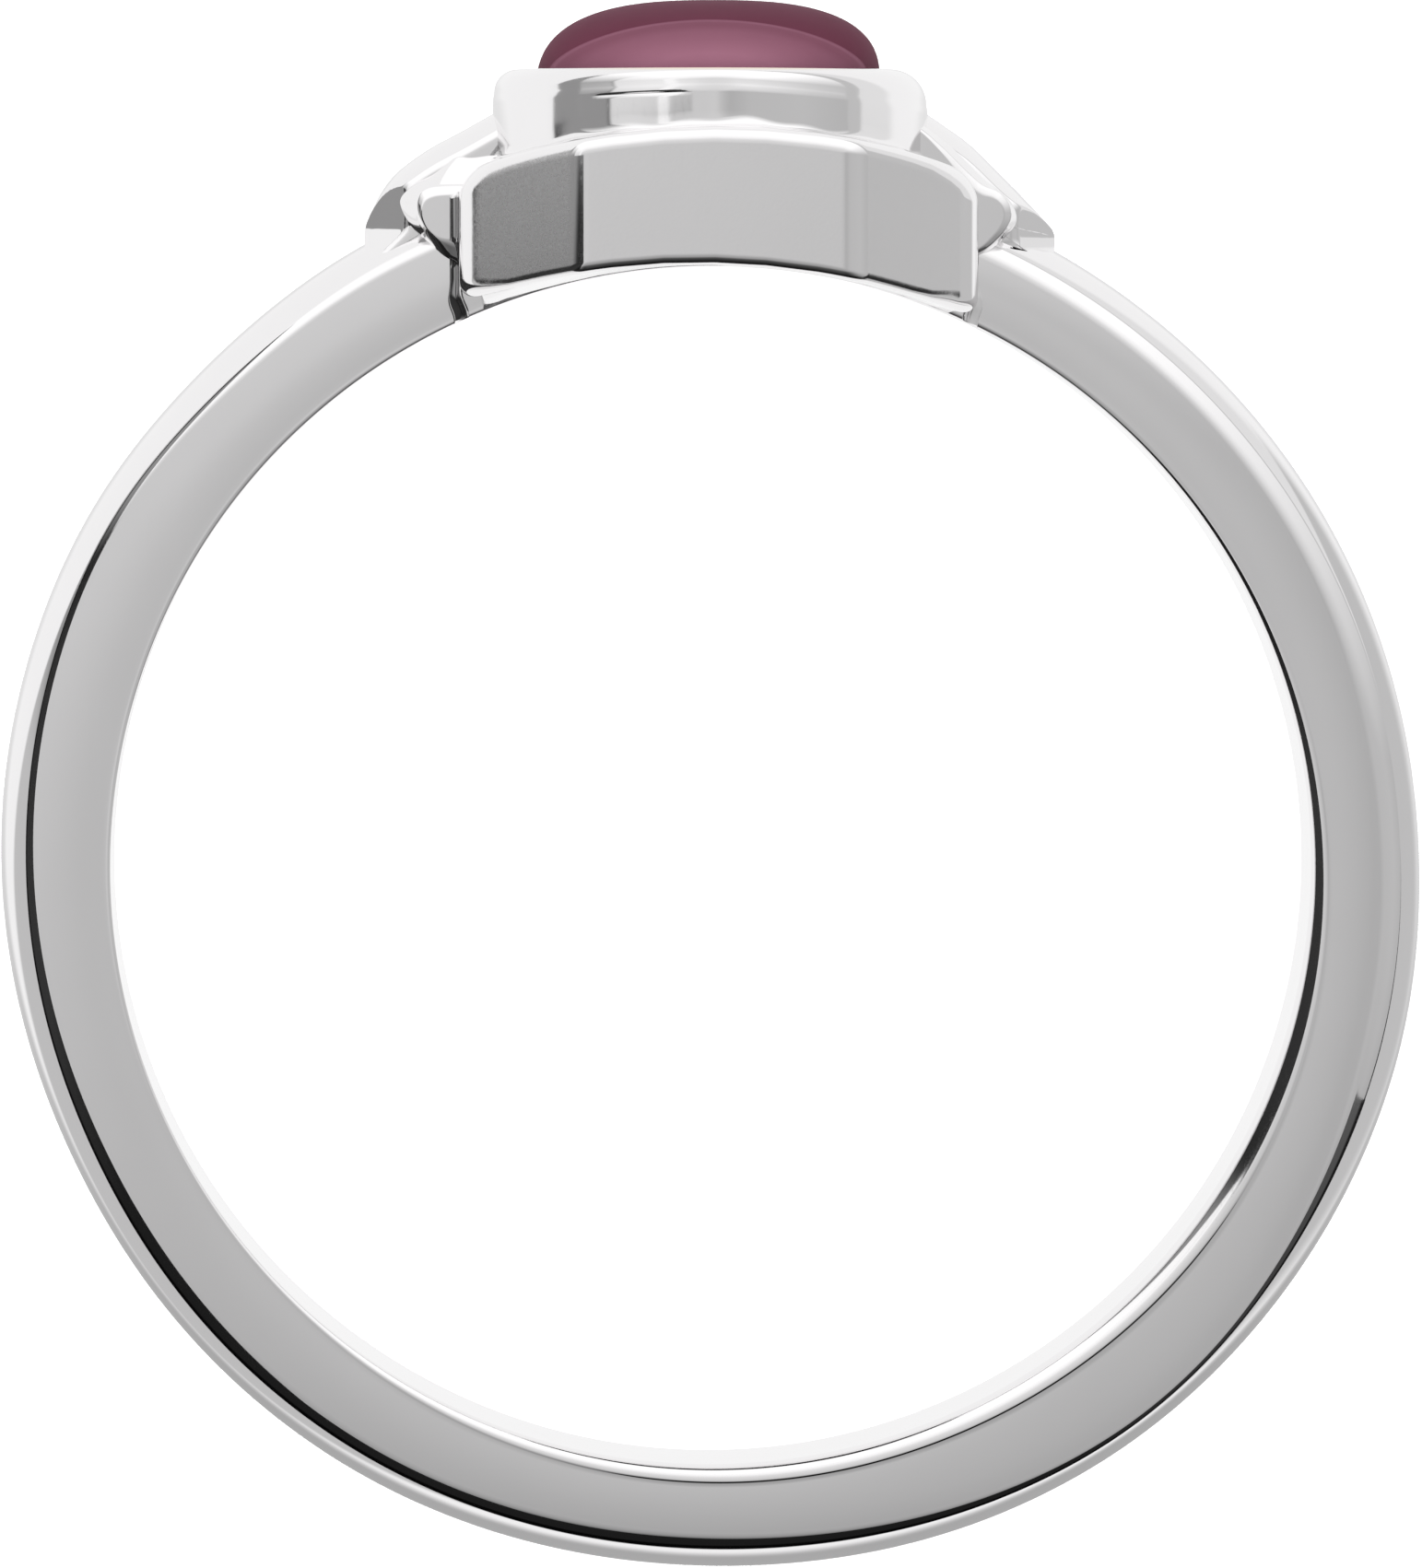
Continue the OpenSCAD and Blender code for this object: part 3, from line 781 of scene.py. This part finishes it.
def ridge(name, side):
    """The ridge's outline from the front, set in rings across its width, with a cap of smaller
    rings on each side. Towards both sides a ring's upper part sinks as the crown's circle does, and
    the edge is rounded. The two flats then cut the nose off softly, and the rows that they cut stay
    a hair apart, so that no two points coincide."""
    outline = round_outline(RIDGE_LINE[side], [0.05, 0.1] + [0.25] * 6 + [0.05] * 2, steps=8,
                            cuts=(0.25, 0.5, 0.75))
    into = inward(outline)
    g = np.radians(np.linspace(0, 90, 9))
    z = np.concatenate([RIDGE_HALF - RIDGE_EDGE * (1 - np.cos(g)),
                        np.linspace(RIDGE_HALF - RIDGE_EDGE, 0, 16)[1:]])
    cut_in = np.concatenate([RIDGE_EDGE * (1 - np.sin(g)), np.zeros(15)])
    z, cut_in = np.concatenate([z, -z[-2::-1]]), np.concatenate([cut_in, cut_in[-2::-1]])
    rings = np.zeros((len(z), len(outline), 3))
    rings[..., :2] = outline[None] + cut_in[:, None, None] * into[None]
    rings[..., 2] = z[:, None]
    sink = RIDGE_CROWN - np.sqrt(RIDGE_CROWN**2 - z**2)
    rings[..., 1] -= sink[:, None] * eased((outline[:, 1] - 8.9) / 1.2)[None]
    shares = np.linspace(0.05, 0.95, 22)
    caps = []
    for edge_ring in (rings[0], rings[-1]):
        cap = np.repeat(edge_ring[None], len(shares), axis=0)
        cap[..., :2] = RIDGE_MIDDLE + (cap[..., :2] - RIDGE_MIDDLE) * shares[:, None, None]
        caps.append(cap)
    rings = np.concatenate([caps[0], rings, caps[1][::-1]])
    x, y, z = rings[..., 0], rings[..., 1], np.abs(rings[..., 2])
    flat = FLAT_Z - FLAT_SLOPE * (x - FLAT_X)
    flat = flat + FOOT_SLOPE * FOOT_SOFT * np.logaddexp(0, (FLAT_FOOT[side] - y) / FOOT_SOFT)
    z = np.where(z > 0, soft_least(z, flat, FLAT_SOFT) + HAIR * z, 0)
    rings = np.stack([side * x, y, z * np.sign(rings[..., 2])], axis=-1)
    at_x, at_y = RIDGE_MIDDLE
    return closed_surface(name, rings, poles=[(side * at_x, at_y, RIDGE_HALF),
                                              (side * at_x, at_y, -RIDGE_HALF)])


def step(name, side, front):
    """The step goes straight out of the ridge along its first outline, slopes to the second one and
    bends over to the flat face, which is closed by smaller copies of its outline."""
    wall, brow, face = (round_outline(line, [0.12] * 11, steps=8) for line in STEP_LINES[side])
    wall_z, brow_z = STEP_OUT[side]
    loops = [(wall, z) for z in (STEP_ROOT, wall_z - 0.1, wall_z - 0.01)]
    for t in (0.04, 0.35, 0.65, 0.96):
        loops.append((wall + (brow - wall) * t, wall_z + (brow_z - wall_z) * t))
    for t, rise in BEND_OVER:
        loops.append((brow + (face - brow) * t, brow_z + (STEP_HALF - brow_z) * rise))
    for t in (0.03, 0.15, 0.4, 0.7):
        loops.append((face + (STEP_MIDDLE - face) * t, STEP_HALF))
    rings = np.array([np.column_stack([side * at[:, 0], at[:, 1], np.full(len(at), front * z)])
                      for at, z in loops])
    at_x, at_y = STEP_MIDDLE
    return closed_surface(name, rings, poles=[(side * at_x, at_y, front * STEP_ROOT),
                                              (side * at_x, at_y, front * STEP_HALF)])


def fillet(name, side, front, top, top_r, foot_r):
    """The hollow run of solder between the plate's end and the metal beside it: a quarter circle
    that bends inward, drawn down the end wall to the finger hole."""
    t = np.linspace(0, 1, 60)[:, None]
    down = top + (SOLDER_FOOT - top) * t
    wall = PLATE_RIGHT if side > 0 else -PLATE_LEFT
    wall = wall - END_IN * eased((END_DRAWS_IN - down) / SOLDER_SOFT)
    r = top_r + (foot_r - top_r) * eased((RUN_WIDENS - down) / SOLDER_SOFT)
    r = r * np.clip((top - down) / 0.06 + 0.1, 0, 1)
    rest = np.interp(down, BAND_TO_STEP, [BAND_HALF + 0.010, STEP_HALF + 0.002])
    a = np.radians(np.linspace(0, 90, 16))[None]
    x = np.hstack([wall + r * (1 - np.cos(a)), wall + r, wall - 0.05 + 0 * r, wall - 0.05 + 0 * r])
    z = np.hstack([rest + r * (1 - np.sin(a)), rest - 0.05, rest - 0.05, rest + r])
    y = top + (np.sqrt((FINGER_R + 0.01) ** 2 - x**2) - top) * t
    rings = np.stack([side * x, y, front * z], axis=-1)
    return closed_surface(name, rings, poles=[rings[0].mean(0), rings[-1].mean(0)])


# The top of the solder's run and its radius there, on each side, and its radius at the foot.
SOLDER_TOP = {1: (9.0, 0.08), -1: (9.72, 0.13)}
SOLDER_FOOT_R = 0.17
for label, side in (("right", 1), ("left", -1)):
    shiny = white_metal("polished_shoulder_" + label, gloss=0.05)
    parts = [ridge(f"shoulder_{label}_ridge", side)]
    for end, front in (("front", 1), ("back", -1)):
        parts.append(step(f"shoulder_{label}_{end}", side, front))
        parts.append(fillet(f"solder_{label}_{end}", side, front, *SOLDER_TOP[side],
                            SOLDER_FOOT_R))
    for part in parts:
        part.data.materials.append(shiny)
        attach(part, "root")
        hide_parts("ring_mount")


# The stone, a translucent plum cabochon, polished to a full gloss and held by the rim pressed over
# its widest line. Light that comes in through the dome is painted into its colour as a lighter glow
# low in it, behind an arched edge.
STONE_X = -0.04
STONE_A = 2.48
STONE_B = 3.5
GIRDLE_Y = 11.21
DOME_H = 1.27
DOME_POWER = 2.7
DOME_LEAN = 0.08
STONE_BACK = 10.2
BACK_IN = 0.12
BACK_EDGE = 0.03
STONE_STEPS = 256
# The plum's deep colour, its painted lit colour where the glow is, and a misty colour.
PLUM_DEEP = (0.088, 0.022, 0.039, 1)
PLUM_LIT = (0.212, 0.091, 0.130, 1)
PLUM_MIST = (0.12, 0.04, 0.065, 1)
# The painted lit zone's arch: its middle, half its width, its height, and the power of that height.
ARCH_X, ARCH_HALF, ARCH_H, ARCH_POWER = -0.07, 2.23, 0.67, 1.48


def stone_rings(a, b, x, y):
    """Ellipses with those half axes, that far to the side and at those heights."""
    turn = np.radians(np.arange(STONE_STEPS) * 360 / STONE_STEPS)
    return np.stack(np.broadcast_arrays(x + a * np.cos(turn), y, b * np.sin(turn)), axis=-1)


# The flat back, the skirt that widens up to the stone's widest line, and the dome, whose upright
# section is an ellipse with a power above 2.
k = np.array([0.35, 0.7, 0.95])[:, None]
back = stone_rings((STONE_A - BACK_IN) * k, (STONE_B - BACK_IN) * k, STONE_X, STONE_BACK)
k = np.array([0, 0.1, 0.5, 0.9])[:, None]
skirt_foot = STONE_BACK + BACK_EDGE
skirt = stone_rings(STONE_A - BACK_IN * (1 - k), STONE_B - BACK_IN * (1 - k), STONE_X,
                    skirt_foot + (GIRDLE_Y - skirt_foot) * k)
t = np.radians(np.linspace(0, 90, 70))[:-1, None]
wide, high = np.cos(t) ** (2 / DOME_POWER), np.sin(t) ** (2 / DOME_POWER)
dome = stone_rings(STONE_A * wide, STONE_B * wide, STONE_X + DOME_LEAN * high,
                   GIRDLE_Y + DOME_H * high)
stone = closed_surface("stone", np.concatenate([back, skirt, dome]), poles=[
    (STONE_X, STONE_BACK, 0), (STONE_X + DOME_LEAN, GIRDLE_Y + DOME_H, 0)])

plum = bpy.data.materials.new("plum_stone")
plum.use_nodes = True
tree = plum.node_tree
shader = tree.nodes["Principled BSDF"]
at = put(tree, "SeparateXYZ", {0: ring_place(tree)}).outputs
# The painted lit zone ends at an arch, an upright oval round the middle of the stone's foot: the
# sum of the two distances from there, each as a share of the arch's and raised to a power, is 1 on
# it.
# The ramp reads four fifths of that sum, because it has to reach past the arch.
span = calc(tree, "DIVIDE", calc(tree, "SUBTRACT", at["X"], ARCH_X), ARCH_HALF)
span = calc(tree, "MULTIPLY", span, span)
rise = calc(tree, "DIVIDE", calc(tree, "SUBTRACT", at["Y"], RIM_Y), ARCH_H)
rise = calc(tree, "POWER", calc(tree, "MAXIMUM", rise, 0.0), ARCH_POWER)
arch = calc(tree, "MULTIPLY", calc(tree, "ADD", span, rise), 0.8)
# The painted glow is palest low in the stone, with a lighter line painted just inside the arch.
painted_glow = ramp(tree, arch, [(0.0, 0.95), (0.13, 1), (0.22, 0.9), (0.36, 0.77), (0.54, 0.66),
                         (0.67, 0.46), (0.75, 0.46), (0.785, 0.70), (0.81, 0.62), (0.83, 0.0)])
mist = put(tree, "TexNoise", {"Vector": ring_place(tree), "Scale": 1.3, "Detail": 4.0})
tint = put(tree, "MixRGB", {"Fac": painted_glow, "Color1": PLUM_DEEP, "Color2": PLUM_LIT})
misty = put(tree, "MixRGB", {"Fac": calc(tree, "MULTIPLY", mist.outputs["Fac"], 0.2),
                             "Color1": tint.outputs[0], "Color2": PLUM_MIST})
rough = calc(tree, "MULTIPLY_ADD", mist.outputs["Fac"], 0.06, 0.06)
tree.links.new(misty.outputs[0], shader.inputs["Base Color"])
tree.links.new(rough, shader.inputs["Roughness"])
shader.inputs["Specular IOR Level"].default_value = 0.0
shader.inputs["Coat Weight"].default_value = 0.08
shader.inputs["Coat Roughness"].default_value = 0.03
stone.data.materials.append(plum)
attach(stone, "root")
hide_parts("cabochon")
